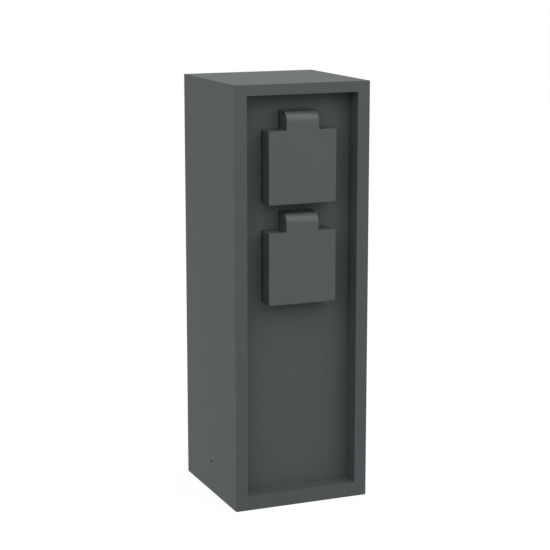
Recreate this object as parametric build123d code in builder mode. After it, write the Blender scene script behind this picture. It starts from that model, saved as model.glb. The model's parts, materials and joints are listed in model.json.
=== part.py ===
from build123d import *
from math import asin, cos, degrees, radians, sin, sqrt
import os

# Garden socket post: a sheet box with a recessed panel and two sockets under sprung lids.
# The origin is the middle of the bottom, +Z is up and the front looks along -Y.
# A depth is measured from the front face backwards.

# Post
post_width = 100
post_depth = 100
post_height = 298
sheet = 2
overrun = 1
play = 0.3

# Front frame and its return
frame_side = 9
frame_top = 7.5
frame_bottom = 10.3
recess_depth = 14.4

# Front panel, its guide strips and its folded feet
panel_thickness = 2
panel_play = 0.4
panel_clearance_below = 6
guide_width = 6
foot_width = 11
foot_reach = 13
foot_screw_inset = 6.5
foot_screw_length = 8

# Screw threads and heads, as radii and heights
m3_radius = 1.5
m3_head_radius = 2.75
m3_head_height = 2
m4_radius = 2
m4_head_radius = 3.8
m4_head_height = 2.2
screw_hole_play = 0.25
fastener_sides = 8

# Base plate with its side lugs and rear bracket
base_thickness = 3
base_play = 0.5
anchor_spacing = 50
anchor_radius = 3.5
lug_width = 18
lug_height = 32
lug_corner = 4
side_screw_height = 22.4
side_screw_length = 10
side_screw_cone = 1.8
side_screw_key = 1.45
side_screw_key_depth = 1.3
bracket_width = 44
bracket_height = 84
bracket_inset = 4

# Cable entry and strain relief
cable_radius = 4.5
grommet_place = 12
grommet_body_radius = 8
grommet_flange_radius = 10
grommet_flange = 2
grommet_neck = 9
grommet_lip = 1.2
clamp_bottom = 30
clamp_height = 10
clamp_strap = 1.5
clamp_span = 20
clamp_foot = 3.5
clamp_screw_length = 6

# Supply terminal
block_width = 36
block_height = 20
block_thickness = 15
block_middle = 66
block_screw_length = 17
pole_pitch = 11
pole_width = 6.4
pole_length = 16
pole_bore = 1.9
pole_screw_spacing = 9
pole_screw_length = 4.1
pole_screw_sink = 2

# Earth point on the bracket
earth_place = 17
earth_height = 22
earth_screw_length = 8
tag_radius = 3.8
tag_thickness = 0.8
barrel_radius = 1.9
barrel_length = 6

# Socket: flange, hinge tab and gasket
socket_top_gap = 11.3
socket_gap = 6.2
flange_side_margin = 3.7
flange_end_margin = 4
corner_radius = 1.5
tab_width = 24
tab_rise = 13.2
flange_thickness = 3.2
gasket_thickness = 1.8
mount_inset = 6
mount_screw_length = 10
nut_radius = 3.2
nut_height = 2.4

# Socket: well
well_radius = 19.5
well_depth = 17.5
well_wall = 2.2
floor_thickness = 4
collar_wall = 1.8
collar_height = 2.2
rib_width = 4
rib_reach = 2
rib_set_back = 2.5
contact_pitch = 19
pin_hole_radius = 2.6
cutout_play = 0.5

# Socket: lid
lid_set_back = 0.2
lid_front_wall = 2
lid_wall = 1.8
lid_edge = 0.2
lid_inner_corner = 0.8
hood_radius = 7.6
hood_wall = 1.4
cheek = 2.4
seal_reach_in = 0.6
seal_reach_out = 1

# Hinge
pin_radius = 1.2
pin_drop = 5.6
pin_end_wall = 0.8
pin_end_inset = 0.1
pin_fit = 0.06
knuckle_radius = 2.9
knuckle_width = 5.3
neck_top_drop = 1.7
neck_bottom_drop = 6.9
lid_sweep_play = 0.32

# Lid spring
spring_wire = 0.3
spring_sides = 4
spring_radius = 2
spring_pitch = 1.2
spring_half_turns = 5
spring_lean = 25
spring_leg = 5.6
hook_width = 1.4
hook_height = 2.8
hook_place = 1.1
hook_thickness = 1.4

# Contacts and their carrier
carrier_inset = 0.4
carrier_thickness = 17
carrier_wall = 1.5
carrier_sides = 8
carrier_screw_x = 8
carrier_screw_z = 14
carrier_thread = 1.25
carrier_head_radius = 2.5
carrier_head_height = 1.6
carrier_screw_length = 20
contact_length = 15
sleeve_width = 6.4
sleeve_bore = 2.45
sleeve_slit = 0.7
terminal_width = 4.2
terminal_height = 10
terminal_length = 8
terminal_window_width = 2.2
terminal_window_height = 5.4
contact_screw_place = 4
contact_screw_length = 3
contact_screw_reach = 2.6
clip_width = 5
clip_thickness = 0.8
clip_wall_gap = 0.4
clip_length = 11
clip_bulge = 1.6
clip_tip = 3
clip_tail = 9

# Wires
wire_radius = 1.4
wire_core = 0.8
core_play = 0.1
wire_bare = 6
wire_spacing = 3.4
wire_sides = 4
wire_rise_share = 0.12
wire_shift_share = 0.25
wire_shift_bend_share = 0.42
wire_bend_share = 0.3
wire_back = 14
loop_bend = 9
bond_rise = 7
bond_drop = 7
bond_bend = 4

# Places worked out from the sizes above
front = -post_depth / 2
inner_width = post_width - 2 * sheet
window_width = post_width - 2 * frame_side
window_height = post_height - frame_top - frame_bottom
window_middle = frame_bottom + window_height / 2
panel_back = recess_depth + panel_thickness
panel_top = post_height - sheet - panel_play
guide_front = panel_back + play
foot_top = panel_clearance_below + panel_thickness
foot_middle = inner_width / 2 - foot_width / 2
foot_screw_y = front + guide_front + foot_screw_inset
gasket_front = recess_depth - gasket_thickness
flange_front = gasket_front - flange_thickness
lid_rear = flange_front - play
lid_depth = lid_rear - lid_set_back
collar_radius = well_radius + collar_wall
flange_width = 2 * (collar_radius + flange_side_margin)
flange_height = 2 * (collar_radius + flange_end_margin)
mount_pitch = flange_width - 2 * mount_inset
flange_top = flange_height / 2
tab_top = flange_top + tab_rise
upper_socket = post_height - frame_top - socket_top_gap - tab_top
socket_spacing = flange_height + tab_rise + socket_gap
socket_heights = {"upper": upper_socket, "lower": upper_socket - socket_spacing}
seal_inner = well_radius - seal_reach_in
seal_outer = collar_radius + seal_reach_out
seal_back = flange_front - collar_height - play
hood_centre = lid_set_back + hood_radius
hood_cavity = knuckle_radius + play
pin_depth = lid_set_back + hood_wall + hood_cavity
pin_height = tab_top - pin_drop
knuckle_outer = tab_width / 2 - cheek - play
knuckle_inner = knuckle_outer - knuckle_width
hood_edge = sqrt(hood_radius**2 - (hood_centre - pin_depth) ** 2) - hood_radius
sweep_radius = pin_drop + hood_edge + lid_sweep_play
well_floor = flange_front + well_depth
well_back = well_floor + floor_thickness
body_radius = well_radius + well_wall
carrier_back = well_back + carrier_thickness
carrier_half_width = (body_radius - carrier_inset) * cos(radians(180 / carrier_sides))
contact_back = carrier_back - carrier_wall
pole_x = contact_pitch / 2
terminal_x = pole_x + (sleeve_width + terminal_width) / 2
base_width = post_width - 2 * (sheet + base_play)
base_depth = post_depth - 2 * (sheet + base_play)
bracket_front = base_depth / 2 - bracket_inset - base_thickness
pole_y = bracket_front - block_thickness / 2
pole_places = (-pole_pitch, 0, pole_pitch)
clamp_middle = clamp_bottom + clamp_height / 2
sides = (-1, 1)

side_view = Plane(origin=(0, front, 0), x_dir=(0, 1, 0), z_dir=(1, 0, 0))
bracket_face = Plane.XZ.offset(-bracket_front)

os.makedirs("parts", exist_ok=True)


def facing(depth):
    """Plane parallel to the front, this far behind the front face, that looks forward."""
    return Plane.XZ.offset(-front - depth)


def looking(origin, direction):
    """Plane at a point that looks along a direction."""
    return Plane(origin=origin, z_dir=direction)


def keep(piece, name):
    """Label a finished piece and write it."""
    piece.label = name
    export_step(piece, f"parts/{name}.step")


def turned(points, place):
    """Solid turned from a profile of (radius, height) points about a plane's own axis."""
    with BuildSketch(Plane(origin=place.origin, x_dir=place.x_dir, z_dir=-place.y_dir)) as profile:
        with BuildLine():
            Polyline(*points, close=True)
        make_face()
    revolve(profile.sketch, axis=Axis(place.origin, place.z_dir))


def small_round(radius, mode=Mode.ADD):
    """Section of a small fastener or of its hole, as a regular polygon."""
    RegularPolygon(radius, side_count=fastener_sides, mode=mode)


def pan_screws(places, thread, head, head_height, length):
    """Pan screws seated on planes that look out of their heads."""
    with BuildPart() as screws:
        for place in places:
            with BuildSketch(place):
                small_round(head)
            extrude(amount=head_height)
            with BuildSketch(place):
                small_round(thread)
            extrude(amount=-length)
    return screws.part


def grub_screws(places, thread, length):
    """Headless screws that start at planes and run against the way they look."""
    with BuildPart() as screws:
        for place in places:
            with BuildSketch(place):
                small_round(thread)
            extrude(amount=-length)
    return screws.part


def wires(routes):
    """Insulated wires with bare ends: each route is its points and the radii of its bends."""
    with BuildPart() as wire:
        for points, bends in routes:
            with BuildLine() as path:
                if bends:
                    FilletPolyline(*points, radius=bends)
                else:
                    Line(*points)
            line = path.wires()[0]
            start, end = line @ 0, line @ 1
            with BuildSketch(looking(start, line % 0)):
                RegularPolygon(wire_radius, side_count=wire_sides)
            sweep(path=line)
            for place in (looking(start, -(line % 0)), looking(end, line % 1)):
                with BuildSketch(place):
                    RegularPolygon(wire_core, side_count=wire_sides)
                extrude(amount=wire_bare)
            print(f"wire: {line.length:.1f} mm long, bend radii {bends}")
    return wire.part


# Housing: welded box, open below, with the frame and its return, the guide strips and their feet
with BuildPart() as housing:
    with BuildSketch():
        Rectangle(post_width, post_depth)
    extrude(amount=post_height)
    offset(amount=-sheet, openings=housing.faces().sort_by(Axis.Z)[0])
    with BuildSketch(facing(recess_depth)):
        with Locations((0, window_middle)):
            Rectangle(window_width + 2 * sheet, window_height + 2 * sheet)
    extrude(amount=recess_depth)
    with BuildSketch(facing(recess_depth + overrun)):
        with Locations((0, window_middle)):
            Rectangle(window_width, window_height)
    extrude(amount=recess_depth + 2 * overrun, mode=Mode.SUBTRACT)
    guide_height = post_height - sheet - foot_top
    guide_x = (inner_width - guide_width) / 2
    with BuildSketch(facing(guide_front + sheet)):
        with Locations(*[(side * guide_x, foot_top + guide_height / 2) for side in sides]):
            Rectangle(guide_width, guide_height)
    extrude(amount=sheet)
    foot_y = front + guide_front + foot_reach / 2
    with BuildSketch(Plane.XY.offset(foot_top)):
        with Locations(*[(side * foot_middle, foot_y) for side in sides]):
            Rectangle(foot_width, foot_reach)
        with Locations(*[(side * foot_middle, foot_screw_y) for side in sides]):
            small_round(m4_radius, mode=Mode.SUBTRACT)
    extrude(amount=sheet)
    for side in sides:
        with Locations(looking((side * post_width / 2, 0, side_screw_height), (side, 0, 0))):
            CounterSinkHole(
                m4_radius + screw_hole_play,
                m4_radius + side_screw_cone,
                depth=sheet + overrun,
                counter_sink_angle=90,
            )
keep(housing.part, "housing")

# Front panel: plate behind the frame, with a foot folded back at each lower corner
with BuildPart() as front_panel:
    panel_height = panel_top - panel_clearance_below
    with BuildSketch(facing(panel_back)):
        with Locations((0, panel_clearance_below + panel_height / 2)):
            Rectangle(inner_width - 2 * panel_play, panel_height)
        with Locations(*[(0, height) for height in socket_heights.values()]):
            Circle(body_radius + cutout_play, mode=Mode.SUBTRACT)
            with GridLocations(mount_pitch, mount_pitch, 2, 2):
                small_round(m3_radius + screw_hole_play, mode=Mode.SUBTRACT)
    extrude(amount=panel_thickness)
    foot_edge = inner_width / 2 - panel_play
    with BuildSketch(Plane.XY.offset(panel_clearance_below)):
        with Locations(
            *[(side * (foot_edge - foot_width / 2), front + panel_back + foot_reach / 2) for side in sides]
        ):
            Rectangle(foot_width, foot_reach)
        with Locations(*[(side * foot_middle, foot_screw_y) for side in sides]):
            small_round(m4_radius + screw_hole_play, mode=Mode.SUBTRACT)
    extrude(amount=panel_thickness)
keep(front_panel.part, "front_panel")

panel_screw_places = [
    looking((side * foot_middle, foot_screw_y, panel_clearance_below), (0, 0, -1)) for side in sides
]
keep(
    pan_screws(panel_screw_places, m4_radius, m4_head_radius, m4_head_height, foot_screw_length),
    "panel_screws",
)

# Base plate: side lugs take the side screws, the rear bracket carries the wiring
with BuildPart() as base_plate:
    with BuildSketch():
        Rectangle(base_width, base_depth)
        with GridLocations(anchor_spacing, anchor_spacing, 2, 2):
            Circle(anchor_radius, mode=Mode.SUBTRACT)
        with Locations((0, grommet_place)):
            Circle(grommet_body_radius, mode=Mode.SUBTRACT)
    extrude(amount=base_thickness)
    lug_x = (base_width - base_thickness) / 2
    with BuildSketch():
        with Locations((-lug_x, 0), (lug_x, 0)):
            Rectangle(base_thickness, lug_width)
    extrude(amount=lug_height)
    fillet(base_plate.edges().filter_by(Axis.X).group_by(Axis.Z)[-1], lug_corner)
    with BuildSketch():
        with Locations((0, bracket_front + base_thickness / 2)):
            Rectangle(bracket_width, base_thickness)
    extrude(amount=bracket_height)
    fillet(base_plate.edges().filter_by(Axis.Y).group_by(Axis.Z)[-1], lug_corner)
    with BuildSketch(Plane.YZ.offset(-base_width / 2 - overrun)):
        with Locations((0, side_screw_height)):
            small_round(m4_radius)
    extrude(amount=base_width + 2 * overrun, mode=Mode.SUBTRACT)
    with BuildSketch(bracket_face.offset(overrun)):
        with Locations((-clamp_span / 2, clamp_middle), (clamp_span / 2, clamp_middle)):
            small_round(m3_radius)
        with Locations((-pole_pitch / 2, block_middle), (pole_pitch / 2, block_middle)):
            small_round(m3_radius)
        with Locations((earth_place, earth_height)):
            small_round(m4_radius)
    extrude(amount=-base_thickness - 2 * overrun, mode=Mode.SUBTRACT)
keep(base_plate.part, "base_plate")

side_screw_places = [
    looking((side * post_width / 2, 0, side_screw_height), (side, 0, 0)) for side in sides
]
with BuildPart() as side_screws:
    for side_place in side_screw_places:
        turned(
            [
                (0, 0),
                (m4_radius + side_screw_cone, 0),
                (m4_radius, -side_screw_cone),
                (0, -side_screw_cone),
            ],
            side_place,
        )
        with BuildSketch(side_place.offset(-side_screw_length)):
            small_round(m4_radius)
        extrude(amount=side_screw_length - side_screw_cone)
        with BuildSketch(side_place):
            RegularPolygon(side_screw_key, side_count=6)
        extrude(amount=-side_screw_key_depth, mode=Mode.SUBTRACT)
keep(side_screws.part, "side_screws")

# Cable grommet: flange on the plate and a neck round the cable
with BuildPart() as cable_grommet:
    flange_level = base_thickness + grommet_flange
    turned(
        [
            (cable_radius, 0),
            (grommet_body_radius, 0),
            (grommet_body_radius, base_thickness),
            (cable_radius + grommet_lip, base_thickness),
            (cable_radius + grommet_lip, flange_level + grommet_neck),
            (cable_radius, flange_level + grommet_neck),
        ],
        looking((0, grommet_place, 0), (0, 0, 1)),
    )
    with BuildSketch(Plane.XY.offset(base_thickness)):
        with Locations((0, grommet_place)):
            small_round(grommet_flange_radius)
            Circle(cable_radius, mode=Mode.SUBTRACT)
    extrude(amount=grommet_flange)
keep(cable_grommet.part, "cable_grommet")

# Cable clamp: saddle on the bracket
with BuildPart() as cable_clamp:
    clamp_axis = bracket_front - cable_radius
    with BuildSketch(Plane.XY.offset(clamp_bottom)):
        with Locations((0, clamp_axis)):
            Circle(cable_radius + clamp_strap)
        with Locations((0, bracket_front - cable_radius / 2)):
            Rectangle(2 * (cable_radius + clamp_strap), cable_radius)
        with Locations((0, bracket_front - clamp_strap / 2)):
            Rectangle(clamp_span + 2 * clamp_foot, clamp_strap)
        with Locations((0, clamp_axis)):
            Circle(cable_radius, mode=Mode.SUBTRACT)
        with Locations((0, bracket_front - cable_radius / 2)):
            Rectangle(2 * cable_radius, cable_radius, mode=Mode.SUBTRACT)
        with Locations((0, bracket_front + cable_radius)):
            Rectangle(2 * cable_radius, 2 * cable_radius, mode=Mode.SUBTRACT)
    extrude(amount=clamp_height)
    with BuildSketch(bracket_face.offset(clamp_strap + overrun)):
        with Locations((-clamp_span / 2, clamp_middle), (clamp_span / 2, clamp_middle)):
            small_round(m3_radius + screw_hole_play)
    extrude(amount=-clamp_strap - 2 * overrun, mode=Mode.SUBTRACT)
keep(cable_clamp.part, "cable_clamp")

clamp_screw_places = [
    looking((side * clamp_span / 2, bracket_front - clamp_strap, clamp_middle), (0, -1, 0))
    for side in sides
]
keep(
    pan_screws(clamp_screw_places, m3_radius, m3_head_radius, m3_head_height, clamp_screw_length),
    "clamp_screws",
)

# Supply terminal: moulded block with three brass poles
with BuildPart() as terminal_block:
    with BuildSketch(bracket_face):
        with Locations((0, block_middle)):
            Rectangle(block_width, block_height)
    extrude(amount=block_thickness)
    pole_hole = pole_width + 2 * play
    with BuildSketch(Plane.XY.offset(block_middle - block_height / 2 - overrun)):
        with Locations(*[(x, pole_y) for x in pole_places]):
            Rectangle(pole_hole, pole_hole)
    extrude(amount=block_height + 2 * overrun, mode=Mode.SUBTRACT)
    with BuildSketch(bracket_face.offset(block_thickness / 2)):
        for level in (-pole_screw_spacing / 2, pole_screw_spacing / 2):
            with Locations(*[(x, block_middle + level) for x in pole_places]):
                small_round(m3_radius + screw_hole_play)
    extrude(amount=block_thickness, mode=Mode.SUBTRACT)
    with BuildSketch(bracket_face.offset(-overrun)):
        with Locations((-pole_pitch / 2, block_middle), (pole_pitch / 2, block_middle)):
            small_round(m3_radius + screw_hole_play)
    extrude(amount=block_thickness + 2 * overrun, mode=Mode.SUBTRACT)
keep(terminal_block.part, "terminal_block")

with BuildPart() as terminal_clamps:
    with BuildSketch(Plane.XY.offset(block_middle - pole_length / 2)):
        for x in pole_places:
            with Locations((x, pole_y)):
                Rectangle(pole_width, pole_width)
                small_round(pole_bore, mode=Mode.SUBTRACT)
    extrude(amount=pole_length)
    with BuildSketch(bracket_face.offset(block_thickness / 2)):
        for level in (-pole_screw_spacing / 2, pole_screw_spacing / 2):
            with Locations(*[(x, block_middle + level) for x in pole_places]):
                small_round(m3_radius)
    extrude(amount=pole_width, mode=Mode.SUBTRACT)
keep(terminal_clamps.part, "terminal_clamps")

pole_screw_front = pole_y - pole_width / 2 - pole_screw_sink
terminal_screw_places = [
    looking((x, pole_screw_front, block_middle + side * pole_screw_spacing / 2), (0, -1, 0))
    for x in pole_places
    for side in sides
]
keep(grub_screws(terminal_screw_places, m3_radius, pole_screw_length), "terminal_screws")

block_screw_places = [
    looking((side * pole_pitch / 2, bracket_front - block_thickness, block_middle), (0, -1, 0))
    for side in sides
]
keep(
    pan_screws(block_screw_places, m3_radius, m3_head_radius, m3_head_height, block_screw_length),
    "block_screws",
)

# Earth point: ring tag under a screw
with BuildPart() as earth_tag:
    with BuildSketch(bracket_face):
        with Locations((earth_place, earth_height)):
            small_round(tag_radius)
        with Locations((earth_place, earth_height + tag_radius)):
            Rectangle(2 * barrel_radius, tag_radius)
        with Locations((earth_place, earth_height)):
            small_round(m4_radius + screw_hole_play, mode=Mode.SUBTRACT)
    extrude(amount=tag_thickness)
    barrel_y = bracket_front - barrel_radius
    tag_neck = earth_height + tag_radius + tag_radius / 2
    with BuildSketch(Plane.XY.offset(tag_neck)):
        with Locations((earth_place, barrel_y)):
            small_round(barrel_radius)
    extrude(amount=barrel_length)
    barrel_top = tag_neck + barrel_length
    with BuildSketch(Plane.XY.offset(barrel_top)):
        with Locations((earth_place, barrel_y)):
            small_round(wire_core + core_play)
    extrude(amount=-barrel_length - overrun, mode=Mode.SUBTRACT)
keep(earth_tag.part, "earth_tag")

earth_screw_place = looking((earth_place, bracket_front - tag_thickness, earth_height), (0, -1, 0))
keep(
    pan_screws([earth_screw_place], m4_radius, m4_head_radius, m4_head_height, earth_screw_length),
    "earth_screw",
)

# Wires: from the supply terminal up to the lower socket, then on to the upper one
low, high = socket_heights["lower"], socket_heights["upper"]
wire_start = block_middle + pole_length / 2
socket_rear = front + contact_back
arrive = wire_spacing / 2
climb = low - arrive - wire_start
wire_bend = wire_bend_share * (pole_y - socket_rear)
wire_shift_bend = wire_shift_bend_share * climb


def supply_route(pole, x):
    """Up from a pole, across to the line of its socket terminal and forward into it."""
    end = [(x, pole_y, low - arrive), (x, socket_rear, low - arrive)]
    if pole == x:
        return [(pole, pole_y, wire_start), *end], [wire_bend]
    turn = wire_start + wire_rise_share * climb
    rise = [(pole, pole_y, wire_start), (pole, pole_y, turn)]
    shifted = (x, pole_y, turn + wire_shift_share * climb)
    return [*rise, shifted, *end], [wire_shift_bend, wire_shift_bend, wire_bend]


def loop_route(x):
    """Back out of the lower socket, up and forward into the upper one."""
    back = socket_rear + wire_back
    low_end, high_end = low + arrive, high - arrive
    points = [(x, socket_rear, low_end), (x, back, low_end), (x, back, high_end), (x, socket_rear, high_end)]
    return points, [loop_bend, loop_bend]


keep(wires([supply_route(pole_pitch, terminal_x), loop_route(terminal_x)]), "wire_live")
keep(wires([supply_route(-pole_pitch, -terminal_x), loop_route(-terminal_x)]), "wire_neutral")
keep(wires([supply_route(0, 0), loop_route(0)]), "wire_earth")

pole_bottom = block_middle - pole_length / 2
bond_points = [
    (earth_place, barrel_y, barrel_top),
    (earth_place, barrel_y, barrel_top + bond_rise),
    (0, pole_y, pole_bottom - bond_drop),
    (0, pole_y, pole_bottom),
]
keep(wires([(bond_points, [bond_bend, bond_bend])]), "wire_bond")


# Socket pieces, made about the height of the socket's own middle
def flange_outline():
    """Rounded square with the hinge tab on top."""
    RectangleRounded(flange_width, flange_height, corner_radius)
    with Locations((0, tab_top / 2)):
        Rectangle(tab_width, tab_top)


def octagon(half_width, mode=Mode.ADD):
    """Eight-sided outline with a flat at each side, this far from its middle."""
    turn = 180 / carrier_sides
    RegularPolygon(half_width, side_count=carrier_sides, major_radius=False, rotation=turn, mode=mode)


def hood_arc(start, size):
    """Rounding of the tab's upper front edge, seen from the side."""
    CenterArc((hood_centre, tab_top - hood_radius), hood_radius, start, size)


hood_turn = degrees(asin((hood_centre - pin_depth) / hood_radius))
hood_top = tab_top + hood_edge

with BuildPart() as socket_gasket:
    with BuildSketch(facing(recess_depth)):
        flange_outline()
        octagon(body_radius + cutout_play, mode=Mode.SUBTRACT)
        with GridLocations(mount_pitch, mount_pitch, 2, 2):
            small_round(m3_radius + screw_hole_play, mode=Mode.SUBTRACT)
    extrude(amount=gasket_thickness)

# Socket body: flange, hinge pedestal and knuckles, collar, well, guide ribs and pin floor
with BuildPart() as socket_body:
    with BuildSketch(facing(gasket_front)):
        flange_outline()
    extrude(amount=flange_thickness)
    with BuildSketch(side_view):
        with BuildLine():
            hood_arc(90, hood_turn)
            Polyline(
                (pin_depth, hood_top),
                (pin_depth, pin_height),
                (gasket_front, pin_height),
                (gasket_front, tab_top),
                (hood_centre, tab_top),
            )
        make_face()
    extrude(amount=tab_width / 2, both=True)
    with BuildSketch(side_view):
        with Locations((pin_depth, pin_height)):
            Circle(sweep_radius)
    extrude(amount=tab_width / 2 + overrun, both=True, mode=Mode.SUBTRACT)
    neck_root = flange_front + flange_thickness / 2
    neck_slope = neck_top_drop / (flange_front - pin_depth)
    for start in (knuckle_inner, -knuckle_outer):
        with BuildSketch(side_view.offset(start)):
            with BuildLine():
                Polyline(
                    (pin_depth, pin_height),
                    (neck_root, pin_height - neck_slope * (neck_root - pin_depth)),
                    (neck_root, pin_height - neck_bottom_drop),
                    (flange_front, pin_height - neck_bottom_drop),
                    (pin_depth, pin_height - knuckle_radius),
                    close=True,
                )
            make_face()
            with Locations((pin_depth, pin_height)):
                Circle(knuckle_radius)
                Circle(pin_radius, mode=Mode.SUBTRACT)
        extrude(amount=knuckle_width)
    with BuildSketch(facing(flange_front)):
        Circle(collar_radius)
    extrude(amount=collar_height)
    with BuildSketch(facing(well_back)):
        Circle(body_radius)
    extrude(amount=well_back - gasket_front)
    with BuildSketch(facing(well_floor)):
        Circle(well_radius)
    extrude(amount=well_depth + collar_height + overrun, mode=Mode.SUBTRACT)
    rib_middle = well_radius + (well_wall / 2 - rib_reach) / 2
    with BuildSketch(facing(well_floor)):
        with Locations((-rib_middle, 0), (rib_middle, 0)):
            Rectangle(rib_reach + well_wall / 2, rib_width)
    extrude(amount=well_depth - rib_set_back)
    clip_middle = well_radius - clip_wall_gap - clip_thickness / 2
    clip_slot = clip_thickness + 2 * play
    with BuildSketch(facing(well_back + overrun)):
        with Locations((-pole_x, 0), (pole_x, 0)):
            Circle(pin_hole_radius)
        with Locations((0, -clip_middle), (0, clip_middle)):
            Rectangle(clip_width + 2 * play, clip_slot)
    extrude(amount=floor_thickness + 2 * overrun, mode=Mode.SUBTRACT)
    carrier_screw_spots = [(-carrier_screw_x, carrier_screw_z), (carrier_screw_x, -carrier_screw_z)]
    carrier_bite = carrier_screw_length - carrier_thickness
    with BuildSketch(facing(well_back)):
        with Locations(*carrier_screw_spots):
            small_round(carrier_thread)
    extrude(amount=carrier_bite, mode=Mode.SUBTRACT)
    with BuildSketch(facing(gasket_front + overrun)):
        with GridLocations(mount_pitch, mount_pitch, 2, 2):
            small_round(m3_radius + screw_hole_play)
    extrude(amount=flange_thickness + 2 * overrun, mode=Mode.SUBTRACT)

# Contact carrier: insert behind the well floor with a chamber for each contact
with BuildPart() as contact_carrier:
    with BuildSketch(facing(carrier_back)):
        octagon(carrier_half_width)
    extrude(amount=carrier_thickness)
    chamber_width = sleeve_width + terminal_width + 2 * play
    chamber_x = pole_x + terminal_width / 2
    with BuildSketch(facing(well_back - overrun)):
        with Locations((-chamber_x, 0), (chamber_x, 0)):
            Rectangle(chamber_width, terminal_height + 2 * play)
        Rectangle(sleeve_width + 2 * play, terminal_height + 2 * play)
    extrude(amount=carrier_wall - carrier_thickness - overrun, mode=Mode.SUBTRACT)
    with BuildSketch(facing(well_back - overrun)):
        Rectangle(clip_width + 2 * play, 2 * body_radius)
    extrude(amount=-overrun - clip_thickness - play, mode=Mode.SUBTRACT)
    with BuildSketch(facing(carrier_back + overrun)):
        with Locations((-terminal_x, 0), (0, 0), (terminal_x, 0)):
            Rectangle(2 * (wire_radius + play), wire_spacing + 2 * (wire_radius + play))
    extrude(amount=carrier_wall + 2 * overrun, mode=Mode.SUBTRACT)
    with BuildSketch(facing(carrier_back + overrun)):
        with Locations(*carrier_screw_spots):
            small_round(carrier_thread + screw_hole_play)
    extrude(amount=carrier_thickness + 2 * overrun, mode=Mode.SUBTRACT)
    contact_screw_y = front + contact_back - contact_screw_place
    with BuildSketch(Plane.XY):
        with Locations(*[(x, contact_screw_y) for x in (-terminal_x, 0, terminal_x)]):
            Rectangle(2 * (m3_radius + play), 2 * (m3_radius + play))
    extrude(amount=carrier_half_width + overrun, mode=Mode.SUBTRACT)

carrier_screw_places = [
    looking((x, front + carrier_back, z), (0, 1, 0)) for x, z in carrier_screw_spots
]
carrier_screws = pan_screws(
    carrier_screw_places, carrier_thread, carrier_head_radius, carrier_head_height, carrier_screw_length
)

# Line contacts: slit sleeves for the plug's pins with a screw terminal beside each
with BuildPart() as line_contacts:
    with BuildSketch(facing(contact_back)):
        with Locations((pole_x, 0)):
            Rectangle(sleeve_width, sleeve_width)
    extrude(amount=contact_length)
    with BuildSketch(facing(contact_back)):
        with Locations((terminal_x, 0)):
            Rectangle(terminal_width, terminal_height)
    extrude(amount=terminal_length)
    with BuildSketch(facing(contact_back + overrun)):
        with Locations((pole_x, 0)):
            Circle(sleeve_bore)
    extrude(amount=contact_length + 2 * overrun, mode=Mode.SUBTRACT)
    with BuildSketch(facing(contact_back - contact_length - overrun)):
        with Locations((pole_x - sleeve_width / 2, 0)):
            Rectangle(sleeve_width, sleeve_slit)
    extrude(amount=terminal_length - contact_length - overrun, mode=Mode.SUBTRACT)
    with BuildSketch(facing(contact_back + overrun)):
        with Locations((terminal_x, 0)):
            Rectangle(terminal_window_width, terminal_window_height)
    extrude(amount=terminal_length, mode=Mode.SUBTRACT)
    with BuildSketch(Plane.XY):
        with Locations((terminal_x, contact_screw_y)):
            small_round(m3_radius)
    extrude(amount=terminal_height, mode=Mode.SUBTRACT)
    mirror(about=Plane.YZ)

contact_screw_places = [
    looking((x, contact_screw_y, contact_screw_reach + contact_screw_length), (0, 0, 1))
    for x in (-terminal_x, 0, terminal_x)
]
contact_screws = grub_screws(contact_screw_places, m3_radius, contact_screw_length)

# Earth clip: strap behind the floor with a sprung finger at the top and bottom of the well
with BuildPart() as earth_clip:
    strap_depth = well_back + clip_thickness / 2
    finger_tip = well_floor - clip_length
    with BuildSketch(side_view):
        with BuildLine() as clip_line:
            Polyline(
                (finger_tip, clip_middle),
                (finger_tip + clip_tip, clip_middle - clip_bulge),
                (finger_tip + 2 * clip_tip, clip_middle),
                (strap_depth, clip_middle),
                (strap_depth, -clip_middle),
                (finger_tip + 2 * clip_tip, -clip_middle),
                (finger_tip + clip_tip, clip_bulge - clip_middle),
                (finger_tip, -clip_middle),
            )
        trace(clip_line.line, line_width=clip_thickness)
    extrude(amount=clip_width / 2, both=True)
    with BuildSketch(facing(well_back + clip_thickness / 2 + clip_tail)):
        Rectangle(clip_width, clip_thickness)
    extrude(amount=clip_tail)
    with BuildSketch(facing(contact_back)):
        Rectangle(sleeve_width, terminal_height)
        Rectangle(terminal_window_width, terminal_window_height, mode=Mode.SUBTRACT)
    extrude(amount=terminal_length)
    with BuildSketch(Plane.XY):
        with Locations((0, contact_screw_y)):
            small_round(m3_radius)
    extrude(amount=terminal_height, mode=Mode.SUBTRACT)

# Mounting screws under the lid and their nuts behind the panel
with BuildPart() as panel_nuts:
    with BuildSketch(facing(panel_back + nut_height)):
        with GridLocations(mount_pitch, mount_pitch, 2, 2):
            RegularPolygon(nut_radius, side_count=6)
            small_round(m3_radius, mode=Mode.SUBTRACT)
    extrude(amount=nut_height)

mount_spots = [(x * mount_pitch / 2, z * mount_pitch / 2) for x in sides for z in sides]
mount_places = [looking((x, front + flange_front, z), (0, -1, 0)) for x, z in mount_spots]
mounting_screws = pan_screws(
    mount_places, m3_radius, m3_head_radius, m3_head_height, mount_screw_length
)

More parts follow.
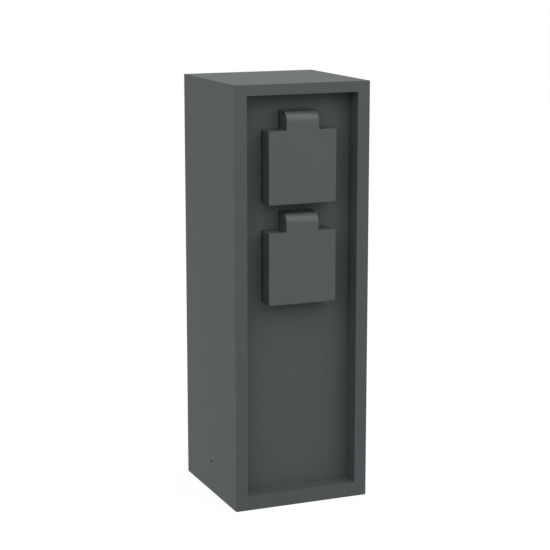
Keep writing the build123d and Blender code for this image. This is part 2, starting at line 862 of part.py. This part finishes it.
# Lid: hollow cover with a hood over the hinge and the hook of its spring
with BuildPart() as lid:
    with BuildSketch(facing(lid_rear)):
        RectangleRounded(flange_width, flange_height, corner_radius)
    extrude(amount=lid_depth)
    lid_floor = flange_top - lid_wall
    with BuildSketch(side_view):
        with BuildLine():
            hood_arc(180, hood_turn - 90)
            Line((pin_depth, hood_top), (pin_depth, pin_height + lid_rear - pin_depth))
            CenterArc((pin_depth, pin_height), lid_rear - pin_depth, 90, -90)
            Polyline(
                (lid_rear, pin_height),
                (lid_rear, lid_floor),
                (lid_set_back, lid_floor),
                (lid_set_back, tab_top - hood_radius),
            )
        make_face()
    extrude(amount=tab_width / 2, both=True)
    outline = lid.edges().group_by(Axis.Y)[0].filter_by_position(Axis.Z, -flange_height, pin_height)
    chamfer(outline.filter_by(lambda edge: edge.center().Z < tab_top - hood_radius - lid_edge), lid_edge)
    with BuildSketch(facing(lid_rear + overrun)):
        RectangleRounded(flange_width - 2 * lid_wall, flange_height - 2 * lid_wall, lid_inner_corner)
    extrude(amount=lid_depth + overrun - lid_front_wall, mode=Mode.SUBTRACT)
    cavity_front = pin_depth - hood_cavity
    with BuildSketch(side_view):
        with BuildLine():
            CenterArc((pin_depth, pin_height), hood_cavity, 180, -90)
            Polyline(
                (pin_depth, pin_height + hood_cavity),
                (pin_depth, tab_top),
                (lid_rear + overrun, tab_top),
                (lid_rear + overrun, flange_top),
                (cavity_front, flange_top),
                (cavity_front, pin_height),
            )
        make_face()
    extrude(amount=knuckle_outer + play, both=True, mode=Mode.SUBTRACT)
    with BuildSketch(side_view.offset(pin_end_wall - tab_width / 2)):
        with Locations((pin_depth, pin_height)):
            Circle(pin_radius + pin_fit)
    extrude(amount=tab_width + overrun, mode=Mode.SUBTRACT)
    hook_x = spring_pitch * spring_half_turns / 4
    with BuildSketch(side_view.offset(hook_x - hook_width / 2)):
        with Locations((pin_depth + hook_place + hook_thickness / 2, flange_top + hook_height / 2)):
            Rectangle(hook_thickness, hook_height)
    extrude(amount=hook_width)

with BuildPart() as lid_seal:
    with BuildSketch(facing(seal_back)):
        Circle(seal_outer)
        Circle(seal_inner, mode=Mode.SUBTRACT)
    extrude(amount=seal_back - lid_set_back - lid_front_wall)

with BuildPart() as hinge_pin:
    with BuildSketch(side_view.offset(pin_end_wall + pin_end_inset - tab_width / 2)):
        with Locations((pin_depth, pin_height)):
            Circle(pin_radius)
    extrude(amount=tab_width - pin_end_wall - 2 * pin_end_inset)


def coil_point(half_turns, radius):
    """Point on the spring's coil, this many half turns from its fixed end."""
    angle = radians(spring_lean + 180 * half_turns)
    x = spring_pitch * (half_turns - spring_half_turns / 2) / 2
    return Vector(x, front + pin_depth + radius * cos(angle), pin_height + radius * sin(angle))


def coil_heading(half_turns):
    """Direction of the wire at that point."""
    angle = radians(spring_lean + 180 * half_turns)
    return Vector(0, -sin(angle), cos(angle))


# Lid spring: one wire in tilted half circles, with a straight leg at each end
with BuildPart() as lid_spring:
    crest_radius = sqrt(spring_radius**2 + (spring_pitch / 4) ** 2)
    coil_start = coil_point(0, spring_radius)
    coil_end = coil_point(spring_half_turns, spring_radius)
    fixed_tip = coil_start - coil_heading(0) * spring_leg
    moving_tip = coil_end + coil_heading(spring_half_turns) * spring_leg
    with BuildLine() as spring_path:
        Line(fixed_tip, coil_start)
        for half in range(spring_half_turns):
            ThreePointArc(
                coil_point(half, spring_radius),
                coil_point(half + 1 / 2, crest_radius),
                coil_point(half + 1, spring_radius),
            )
        Line(coil_end, moving_tip)
    with BuildSketch(looking(fixed_tip, coil_heading(0))):
        RegularPolygon(spring_wire, side_count=spring_sides)
    sweep(path=spring_path.wires()[0])
print(f"spring: {spring_pitch - 2 * spring_wire:.2f} mm between turns")

socket_pieces = {
    "socket_gasket": socket_gasket.part,
    "socket_body": socket_body.part,
    "contact_carrier": contact_carrier.part,
    "carrier_screws": carrier_screws,
    "line_contacts": line_contacts.part,
    "contact_screws": contact_screws,
    "earth_clip": earth_clip.part,
    "panel_nuts": panel_nuts.part,
    "mounting_screws": mounting_screws,
    "lid": lid.part,
    "lid_seal": lid_seal.part,
    "hinge_pin": hinge_pin.part,
    "lid_spring": lid_spring.part,
}
for place, height in socket_heights.items():
    for name, piece in socket_pieces.items():
        keep(piece.moved(Location((0, 0, height))), f"{name}_{place}")
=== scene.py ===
import json
import math

import bmesh
import bpy
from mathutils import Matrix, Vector


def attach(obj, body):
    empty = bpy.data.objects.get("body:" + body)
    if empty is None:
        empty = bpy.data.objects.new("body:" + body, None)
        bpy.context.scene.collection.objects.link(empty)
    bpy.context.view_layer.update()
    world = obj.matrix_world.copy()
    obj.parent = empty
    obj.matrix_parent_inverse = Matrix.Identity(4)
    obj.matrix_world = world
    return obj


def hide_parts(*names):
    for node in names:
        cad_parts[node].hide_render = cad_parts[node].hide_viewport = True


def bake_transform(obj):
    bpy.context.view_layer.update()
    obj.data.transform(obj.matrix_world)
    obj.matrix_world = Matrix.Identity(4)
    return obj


# Looks of the garden socket post, in metres, in the frame of the solids.
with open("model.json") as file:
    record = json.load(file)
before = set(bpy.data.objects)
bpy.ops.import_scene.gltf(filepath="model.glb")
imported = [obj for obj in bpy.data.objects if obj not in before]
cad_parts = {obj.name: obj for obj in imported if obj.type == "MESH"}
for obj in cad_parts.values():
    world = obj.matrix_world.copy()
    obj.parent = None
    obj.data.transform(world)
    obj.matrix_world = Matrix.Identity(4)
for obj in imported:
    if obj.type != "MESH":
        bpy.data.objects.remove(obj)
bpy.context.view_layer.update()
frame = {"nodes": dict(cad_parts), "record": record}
nodes = frame["nodes"]

# Shared sizes, as in the solids
FRONT = -0.050
PIN_DEPTH = 0.0048
SOCKET_HEIGHTS = {"upper": 0.2407, "lower": 0.1707}
PIN_RISE = 0.0329
FLANGE_DEPTH = 0.0094
MOUNT_PITCH = 0.038

scene = bpy.context.scene
scene.view_settings.view_transform = "Standard"


# Camera at the photograph's angle, fitted to the edges of the post
CAMERA_PLACE = (-0.45186, -1.09015, 0.3982)
CAMERA_LENS = 109.636
CAMERA_YAW = 22.514
CAMERA_PITCH = 11.593


def add_camera():
    data = bpy.data.cameras.new("camera")
    data.sensor_width = 36
    data.lens = CAMERA_LENS
    data.clip_start, data.clip_end = 0.05, 50
    camera = bpy.data.objects.new("camera", data)
    scene.collection.objects.link(camera)
    yaw, pitch = math.radians(CAMERA_YAW), math.radians(CAMERA_PITCH)
    forward = Vector(
        (math.sin(yaw) * math.cos(pitch), math.cos(yaw) * math.cos(pitch), -math.sin(pitch))
    )
    camera.location = CAMERA_PLACE
    camera.rotation_mode = "QUATERNION"
    camera.rotation_quaternion = forward.to_track_quat("-Z", "Y")
    scene.camera = camera


add_camera()


# Small helpers for node trees
class Tree:
    """A material's nodes, added and linked by name."""

    def __init__(self, name):
        self.material = bpy.data.materials.new(name)
        self.material.use_nodes = True
        self.nodes = self.material.node_tree.nodes
        self.links = self.material.node_tree.links
        self.nodes.clear()
        self.output = self.add("ShaderNodeOutputMaterial")

    def add(self, kind, settings=None, **inputs):
        node = self.nodes.new(kind)
        for key, value in (settings or {}).items():
            setattr(node, key, value)
        for key, value in inputs.items():
            self.put(node, key.replace("_", " "), value)
        return node

    def put(self, node, key, value):
        socket = node.inputs[int(key)] if key.isdigit() else node.inputs[key]
        if isinstance(value, bpy.types.NodeSocket):
            self.links.new(value, socket)
        else:
            socket.default_value = value

    def noise(self, vector, scale, detail=2.0, roughness=0.5):
        return self.add(
            "ShaderNodeTexNoise", Vector=vector, Scale=scale, Detail=detail, Roughness=roughness
        ).outputs["Fac"]

    def spread(self, value, low, high, start=0.3, end=0.7):
        """Map a noise value to a range."""
        node = self.add("ShaderNodeMapRange", Value=value)
        node.inputs["From Min"].default_value = start
        node.inputs["From Max"].default_value = end
        node.inputs["To Min"].default_value = low
        node.inputs["To Max"].default_value = high
        return node.outputs["Result"]

    def scaled(self, color, factor):
        node = self.add("ShaderNodeVectorMath", {"operation": "SCALE"})
        node.inputs[0].default_value = color[:3]
        self.links.new(factor, node.inputs["Scale"])
        return node.outputs["Vector"]


def surface(name, color, roughness, vary=0.04, vary_scale=60, grain=1500, grain_depth=0.00002,
            grain_strength=0.3, roughness_vary=0.05, metallic=0.0, specular=0.5, coarse=0.0,
            coarse_scale=400):
    """Coloured finish with slight mottling, uneven gloss and a fine grain."""
    tree = Tree(name)
    place = tree.add("ShaderNodeTexCoord").outputs["Object"]
    mottle = tree.noise(place, vary_scale, 3.0)
    fine = tree.noise(place, grain, 2.0)
    tone = tree.spread(mottle, 1 - vary, 1 + vary)
    base = tree.scaled(color, tone)
    gloss = tree.spread(fine, roughness - roughness_vary, roughness + roughness_vary)
    height = fine
    if coarse:
        wide = tree.noise(place, coarse_scale, 1.0)
        mix = tree.add("ShaderNodeMath", {"operation": "MULTIPLY_ADD"})
        tree.links.new(wide, mix.inputs[0])
        mix.inputs[1].default_value = coarse
        tree.links.new(fine, mix.inputs[2])
        height = mix.outputs[0]
    bump = tree.add("ShaderNodeBump", Height=height, Strength=grain_strength, Distance=grain_depth)
    shader = tree.add(
        "ShaderNodeBsdfPrincipled", Base_Color=base, Roughness=gloss, Normal=bump.outputs["Normal"]
    )
    shader.inputs["Metallic"].default_value = metallic
    shader.inputs["Specular IOR Level"].default_value = specular
    tree.put(tree.output, "Surface", shader.outputs["BSDF"])
    return tree.material


def brushed(name, color, roughness, stretch=(1, 1, 14), scale=90, vary=0.08):
    """Rolled or drawn metal with fine streaks along one direction."""
    tree = Tree(name)
    place = tree.add("ShaderNodeTexCoord").outputs["Object"]
    mapping = tree.add("ShaderNodeMapping", Vector=place, Scale=stretch)
    streaks = tree.noise(mapping.outputs["Vector"], scale * 12, 4.0, 0.6)
    cloud = tree.noise(place, scale, 2.0)
    base = tree.scaled(color, tree.spread(cloud, 1 - vary, 1 + vary))
    gloss = tree.spread(streaks, roughness - 0.07, roughness + 0.09)
    bump = tree.add("ShaderNodeBump", Height=streaks, Strength=0.15, Distance=0.00001)
    shader = tree.add(
        "ShaderNodeBsdfPrincipled", Base_Color=base, Roughness=gloss, Normal=bump.outputs["Normal"]
    )
    shader.inputs["Metallic"].default_value = 1.0
    tree.put(tree.output, "Surface", shader.outputs["BSDF"])
    return tree.material


def spangle(name, light, dark, roughness):
    """Hot-dip zinc: patches of crystal with their own tone."""
    tree = Tree(name)
    place = tree.add("ShaderNodeTexCoord").outputs["Object"]
    cells = tree.add("ShaderNodeTexVoronoi", Vector=place, Scale=190.0)
    tone = tree.add("ShaderNodeSeparateColor", Color=cells.outputs["Color"]).outputs["Red"]
    mix = tree.add("ShaderNodeMix", {"data_type": "RGBA"})
    tree.links.new(tree.spread(tone, 0.0, 1.0, 0.0, 1.0), mix.inputs["Factor"])
    # The colour sockets of a mix node share their names with its float sockets
    mix.inputs[6].default_value = (*dark, 1)
    mix.inputs[7].default_value = (*light, 1)
    gloss = tree.spread(tone, roughness - 0.08, roughness + 0.1, 0.0, 1.0)
    fine = tree.noise(place, 900, 2.0)
    bump = tree.add("ShaderNodeBump", Height=fine, Strength=0.2, Distance=0.00002)
    shader = tree.add(
        "ShaderNodeBsdfPrincipled", Base_Color=mix.outputs[2], Roughness=gloss,
        Normal=bump.outputs["Normal"],
    )
    shader.inputs["Metallic"].default_value = 1.0
    tree.put(tree.output, "Surface", shader.outputs["BSDF"])
    return tree.material


def striped(name, ground, stripe):
    """Two-colour wire insulation: one colour on each side, all along the wire."""
    tree = Tree(name)
    coordinates = tree.add("ShaderNodeTexCoord")
    place = coordinates.outputs["Object"]
    facing = tree.add("ShaderNodeVectorMath", {"operation": "DOT_PRODUCT"})
    tree.links.new(coordinates.outputs["Normal"], facing.inputs[0])
    facing.inputs[1].default_value = (0.83, 0.5, 0.25)
    step = tree.add("ShaderNodeMath", {"operation": "GREATER_THAN"})
    tree.links.new(facing.outputs["Value"], step.inputs[0])
    step.inputs[1].default_value = 0.0
    mix = tree.add("ShaderNodeMix", {"data_type": "RGBA"})
    tree.links.new(step.outputs[0], mix.inputs["Factor"])
    mix.inputs[6].default_value = (*ground, 1)
    mix.inputs[7].default_value = (*stripe, 1)
    fine = tree.noise(place, 1200, 2.0)
    shader = tree.add("ShaderNodeBsdfPrincipled", Base_Color=mix.outputs[2])
    tree.put(shader, "Roughness", tree.spread(fine, 0.33, 0.45))
    tree.put(tree.output, "Surface", shader.outputs["BSDF"])
    return tree.material


# Finishes, by the record's slots
POWDER = (0.0652, 0.0757, 0.0777)
PLASTIC = (0.0622, 0.0725, 0.0731)
COATED_SCREW = (0.061, 0.07, 0.072)
finishes = {
    "powder_coat": surface(
        "powder_coat", POWDER, 0.6, vary=0.02, vary_scale=45, grain=2600, grain_depth=0.00003,
        grain_strength=0.35, specular=0.4, coarse=0.8, coarse_scale=900,
    ),
    "coated_screw": surface(
        "coated_screw", COATED_SCREW, 0.55, vary=0.03, grain=2600, grain_strength=0.2, specular=0.4
    ),
    "moulding": surface(
        "moulding", PLASTIC, 0.46, vary=0.015, vary_scale=70, grain=3800, grain_depth=0.00002,
        grain_strength=0.3, specular=0.5,
    ),
    "black_rubber": surface(
        "black_rubber", (0.017, 0.0175, 0.018), 0.75, vary=0.1, grain=2200, grain_depth=0.00003,
        specular=0.3,
    ),
    "insert_plastic": surface(
        "insert_plastic", (0.58, 0.58, 0.56), 0.42, vary=0.02, grain=3000, grain_strength=0.15
    ),
    "clamp_plastic": surface(
        "clamp_plastic", (0.24, 0.25, 0.26), 0.48, vary=0.03, grain=3000, grain_strength=0.15
    ),
    "galvanised_steel": spangle("galvanised_steel", (0.6, 0.62, 0.63), (0.42, 0.44, 0.46), 0.42),
    "plated_steel": brushed("plated_steel", (0.66, 0.67, 0.68), 0.3),
    "spring_steel": brushed("spring_steel", (0.55, 0.54, 0.52), 0.28, stretch=(14, 1, 1)),
    "brass": brushed("brass", (0.72, 0.53, 0.25), 0.28),
    "wire_brown": surface("wire_brown", (0.12, 0.045, 0.02), 0.38, grain=1800, grain_strength=0.1),
    "wire_blue": surface("wire_blue", (0.03, 0.13, 0.42), 0.38, grain=1800, grain_strength=0.1),
    "wire_green_yellow": striped("wire_green_yellow", (0.05, 0.3, 0.06), (0.75, 0.62, 0.03)),
}
slot_of = {part["node"]: part["material_slot"] for part in frame["record"]["subparts"]}


def dress(obj, slot):
    obj.data.materials.clear()
    obj.data.materials.append(finishes[slot])


for name, node in nodes.items():
    dress(node, slot_of[name])


# Edges of the sheet metal and of the mouldings are broken a little
def soften(name, width, sharpest=35, segments=2):
    obj = nodes[name]
    weld = obj.modifiers.new("weld", "WELD")
    weld.merge_threshold = 0.000002
    bevel = obj.modifiers.new("edges", "BEVEL")
    bevel.width = width
    bevel.segments = segments
    bevel.limit_method = "ANGLE"
    bevel.angle_limit = math.radians(sharpest)
    bevel.harden_normals = True


SHEET_EDGE = 0.0002
MOULDED_EDGE = 0.00012
SCREW_EDGE = 0.00018
# The countersunk holes stay as they are: their rims turn by 45 degrees
soften("housing", SHEET_EDGE, sharpest=60)
soften("front_panel", SHEET_EDGE)
soften("side_screws", SCREW_EDGE)
for place in SOCKET_HEIGHTS:
    soften(f"lid_{place}", MOULDED_EDGE)


# Lid springs: round wire wound through the half turns of the solid
SPRING_WIRE = 0.0003
SPRING_RADIUS = 0.002
SPRING_PITCH = 0.0012
SPRING_HALF_TURNS = 5
SPRING_LEAN = 25
SPRING_LEG = 0.0056
WIRE_SIDES = 12
STEPS_PER_HALF_TURN = 18
STEPS_PER_LEG = 8


def tube(name, points, radius, sides=WIRE_SIDES):
    """Closed round tube along a line of points."""
    mesh = bpy.data.meshes.new(name)
    work = bmesh.new()
    rings = []
    normal = None
    for index, point in enumerate(points):
        before = points[max(index - 1, 0)]
        after = points[min(index + 1, len(points) - 1)]
        heading = (after - before).normalized()
        if normal is None:
            normal = heading.orthogonal().normalized()
        normal = (normal - heading * normal.dot(heading)).normalized()
        across = heading.cross(normal)
        ring = []
        for side in range(sides):
            angle = 2 * math.pi * side / sides
            outward = math.cos(angle) * normal + math.sin(angle) * across
            ring.append(work.verts.new(point + radius * outward))
        rings.append(ring)
    for first, second in zip(rings, rings[1:]):
        for side in range(sides):
            follow = (side + 1) % sides
            work.faces.new((first[side], first[follow], second[follow], second[side])).smooth = True
    work.faces.new(list(reversed(rings[0])))
    work.faces.new(rings[-1])
    bmesh.ops.recalc_face_normals(work, faces=work.faces)
    work.to_mesh(mesh)
    work.free()
    obj = bpy.data.objects.new(name, mesh)
    scene.collection.objects.link(obj)
    return obj


def coil(height):
    """Points of one lid spring, its two legs included."""
    def at(turns):
        angle = math.radians(SPRING_LEAN + 180 * turns)
        return Vector((
            SPRING_PITCH * (turns - SPRING_HALF_TURNS / 2) / 2,
            FRONT + PIN_DEPTH + SPRING_RADIUS * math.cos(angle),
            height + PIN_RISE + SPRING_RADIUS * math.sin(angle),
        ))

    def heading(turns):
        angle = math.radians(SPRING_LEAN + 180 * turns)
        return Vector((0, -math.sin(angle), math.cos(angle)))

    steps = SPRING_HALF_TURNS * STEPS_PER_HALF_TURN
    leg_steps = STEPS_PER_LEG
    start = [at(0) - heading(0) * SPRING_LEG * (1 - i / leg_steps) for i in range(leg_steps)]
    turns = [at(i / STEPS_PER_HALF_TURN) for i in range(steps + 1)]
    last = SPRING_HALF_TURNS
    end = [at(last) + heading(last) * SPRING_LEG * (i + 1) / leg_steps for i in range(leg_steps)]
    return start + turns + end


for place, height in SOCKET_HEIGHTS.items():
    spring = tube(f"spring_{place}", coil(height), SPRING_WIRE)
    dress(spring, "spring_steel")
    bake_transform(spring)
    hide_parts(f"lid_spring_{place}")


# Mounting screws: round pan heads with a cross recess in place of the plain octagons
HEAD_RADIUS = 0.00275
HEAD_HEIGHT = 0.002
SHANK_RADIUS = 0.0015
SCREW_LENGTH = 0.010


def lathe(work, profile, origin, axis, side, steps=32):
    """Turned skin in work from (radius, height) pairs, the first on the axis.

    Gives its last ring, which stays open.
    """
    across = axis.cross(side)
    rings = []
    for radius, level in profile:
        base = origin + axis * level
        if not rings:
            rings.append([work.verts.new(base)])
            continue
        rings.append([
            work.verts.new(base + radius * (math.cos(a) * side + math.sin(a) * across))
            for a in (2 * math.pi * i / steps for i in range(steps))
        ])
    for low, high in zip(rings, rings[1:]):
        for i in range(steps):
            j = (i + 1) % steps
            if len(low) == 1:
                work.faces.new((low[0], high[j], high[i]))
            else:
                work.faces.new((low[i], low[j], high[j], high[i]))
    return rings[-1]


def cross_outline(origin, side, across, reach, half_width):
    """Corners of a cross, in order round it."""
    corners = []
    for quarter in range(4):
        turn = math.pi / 2 * quarter
        along = math.cos(turn) * side + math.sin(turn) * across
        beside = -math.sin(turn) * side + math.cos(turn) * across
        corners += [
            origin + along * reach - beside * half_width,
            origin + along * reach + beside * half_width,
            origin + along * half_width + beside * half_width,
        ]
    return corners


def cross_screws(name, places, radius, height, thread, length):
    """Pan-head screws with cross recesses, each at a seat point that looks out of the head."""
    mesh = bpy.data.meshes.new(name)
    work = bmesh.new()
    for seat, axis, side in places:
        rim = lathe(work, [
            (0, -length),
            (thread * 0.8, -length),
            (thread, -length + thread * 0.3),
            (thread, 0),
            (radius, 0),
            (radius, height * 0.45),
            (radius * 0.95, height * 0.72),
            (radius * 0.82, height * 0.92),
            (radius * 0.66, height),
        ], seat, axis, side)
        across = axis.cross(side)
        top = [
            work.verts.new(point)
            for point in cross_outline(
                seat + axis * height, side, across, radius * 0.56, radius * 0.11
            )
        ]
        floor = [
            work.verts.new(point)
            for point in cross_outline(
                seat + axis * height * 0.4, side, across, radius * 0.3, radius * 0.08
            )
        ]
        borders = []
        for loop in (rim, top):
            for first, second in zip(loop, loop[1:] + loop[:1]):
                borders.append(work.edges.get((first, second)) or work.edges.new((first, second)))
        bmesh.ops.triangle_fill(work, edges=borders, use_beauty=True)
        for i in range(len(top)):
            j = (i + 1) % len(top)
            work.faces.new((top[i], top[j], floor[j], floor[i]))
        work.faces.new(floor)
    bmesh.ops.recalc_face_normals(work, faces=work.faces)
    for face in work.faces:
        face.smooth = True
    work.to_mesh(mesh)
    work.free()
    mesh.set_sharp_from_angle(angle=math.radians(32))
    obj = bpy.data.objects.new(name, mesh)
    scene.collection.objects.link(obj)
    return obj


for place, height in SOCKET_HEIGHTS.items():
    seats = []
    for i, (x, z) in enumerate(((-1, -1), (1, -1), (1, 1), (-1, 1))):
        turn = math.radians(17 + 31 * i)
        seats.append((
            Vector((x * MOUNT_PITCH / 2, FRONT + FLANGE_DEPTH, height + z * MOUNT_PITCH / 2)),
            Vector((0, -1, 0)),
            Vector((math.cos(turn), 0, math.sin(turn))),
        ))
    screws = cross_screws(
        f"screws_{place}", seats, HEAD_RADIUS, HEAD_HEIGHT, SHANK_RADIUS, SCREW_LENGTH
    )
    dress(screws, "plated_steel")
    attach(screws, "post")
    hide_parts(f"mounting_screws_{place}")


# Plain pale floor, soft lamps and a white surround
FLOOR_TONE = 0.1
FLOOR_TONE_SEEN = 0.9
FLOOR_GLOW = 1.04
FLOOR_GLOW_SHARE = 0.86


def floor_material():
    """Nearly white where it is seen, darker in the light that it throws back."""
    tree = Tree("floor")
    diffuse = tree.add("ShaderNodeBsdfDiffuse")
    tone = tree.add("ShaderNodeMapRange")
    tone.inputs["To Min"].default_value = FLOOR_TONE
    tone.inputs["To Max"].default_value = FLOOR_TONE_SEEN
    tree.links.new(tone.outputs["Result"], diffuse.inputs["Color"])
    glow = tree.add("ShaderNodeEmission")
    glow.inputs["Color"].default_value = (1, 1, 1, 1)
    glow.inputs["Strength"].default_value = FLOOR_GLOW
    rays = tree.add("ShaderNodeLightPath")
    seen = tree.add("ShaderNodeMath", {"operation": "MAXIMUM"})
    tree.links.new(rays.outputs["Is Camera Ray"], seen.inputs[0])
    tree.links.new(rays.outputs["Is Glossy Ray"], seen.inputs[1])
    tree.links.new(seen.outputs[0], tone.inputs["Value"])
    share = tree.add("ShaderNodeMath", {"operation": "MULTIPLY"})
    tree.links.new(seen.outputs[0], share.inputs[0])
    share.inputs[1].default_value = FLOOR_GLOW_SHARE
    mix = tree.add("ShaderNodeMixShader")
    tree.links.new(share.outputs[0], mix.inputs[0])
    tree.links.new(diffuse.outputs[0], mix.inputs[1])
    tree.links.new(glow.outputs[0], mix.inputs[2])
    tree.put(tree.output, "Surface", mix.outputs[0])
    return tree.material


def add_floor():
    mesh = bpy.data.meshes.new("floor")
    size = 20
    corners = [(-size, -size, 0), (size, -size, 0), (size, size, 0), (-size, size, 0)]
    mesh.from_pydata(corners, [], [(0, 1, 2, 3)])
    floor = bpy.data.objects.new("floor", mesh)
    scene.collection.objects.link(floor)
    floor.data.materials.append(floor_material())


def add_world(level, rise):
    """White surround for the camera.

    Its light is level at the horizon and grows by rise up to the top.
    """
    world = bpy.data.worlds.new("world")
    scene.world = world
    world.use_nodes = True
    links = world.node_tree.links
    parts = world.node_tree.nodes
    parts.clear()
    output = parts.new("ShaderNodeOutputWorld")
    soft = parts.new("ShaderNodeBackground")
    soft.inputs["Color"].default_value = (1, 1, 1, 1)
    direction = parts.new("ShaderNodeTexCoord")
    split = parts.new("ShaderNodeSeparateXYZ")
    links.new(direction.outputs["Generated"], split.inputs[0])
    strength = parts.new("ShaderNodeMapRange")
    strength.inputs["To Min"].default_value = level
    strength.inputs["To Max"].default_value = level + rise
    links.new(split.outputs["Z"], strength.inputs["Value"])
    links.new(strength.outputs["Result"], soft.inputs["Strength"])
    white = parts.new("ShaderNodeBackground")
    white.inputs["Color"].default_value = (1, 1, 1, 1)
    white.inputs["Strength"].default_value = 1.0
    rays = parts.new("ShaderNodeLightPath")
    seen = parts.new("ShaderNodeMath")
    seen.operation = "MAXIMUM"
    links.new(rays.outputs["Is Camera Ray"], seen.inputs[0])
    links.new(rays.outputs["Is Transmission Ray"], seen.inputs[1])
    mix = parts.new("ShaderNodeMixShader")
    links.new(seen.outputs[0], mix.inputs[0])
    links.new(soft.outputs[0], mix.inputs[1])
    links.new(white.outputs[0], mix.inputs[2])
    links.new(mix.outputs[0], output.inputs["Surface"])


def add_lamp(name, place, aim, size, power):
    data = bpy.data.lights.new(name, "AREA")
    data.shape = "SQUARE"
    data.size = size
    data.energy = power
    lamp = bpy.data.objects.new(name, data)
    scene.collection.objects.link(lamp)
    lamp.location = place
    lamp.rotation_mode = "QUATERNION"
    lamp.rotation_quaternion = (Vector(aim) - Vector(place)).to_track_quat("-Z", "Y")


MIDDLE = (0, 0, 0.15)
HEAD_OF_POST = (0, -0.05, 0.28)
add_floor()
add_world(level=0.775, rise=0.13)
add_lamp("top", (0.0, -0.6, 2.4), MIDDLE, size=1.6, power=6.2)
add_lamp("front_left", (-1.6, -1.6, 1.2), MIDDLE, size=1.4, power=12.4)
add_lamp("near", (0.35, -0.75, 0.95), HEAD_OF_POST, size=1.0, power=4.7)
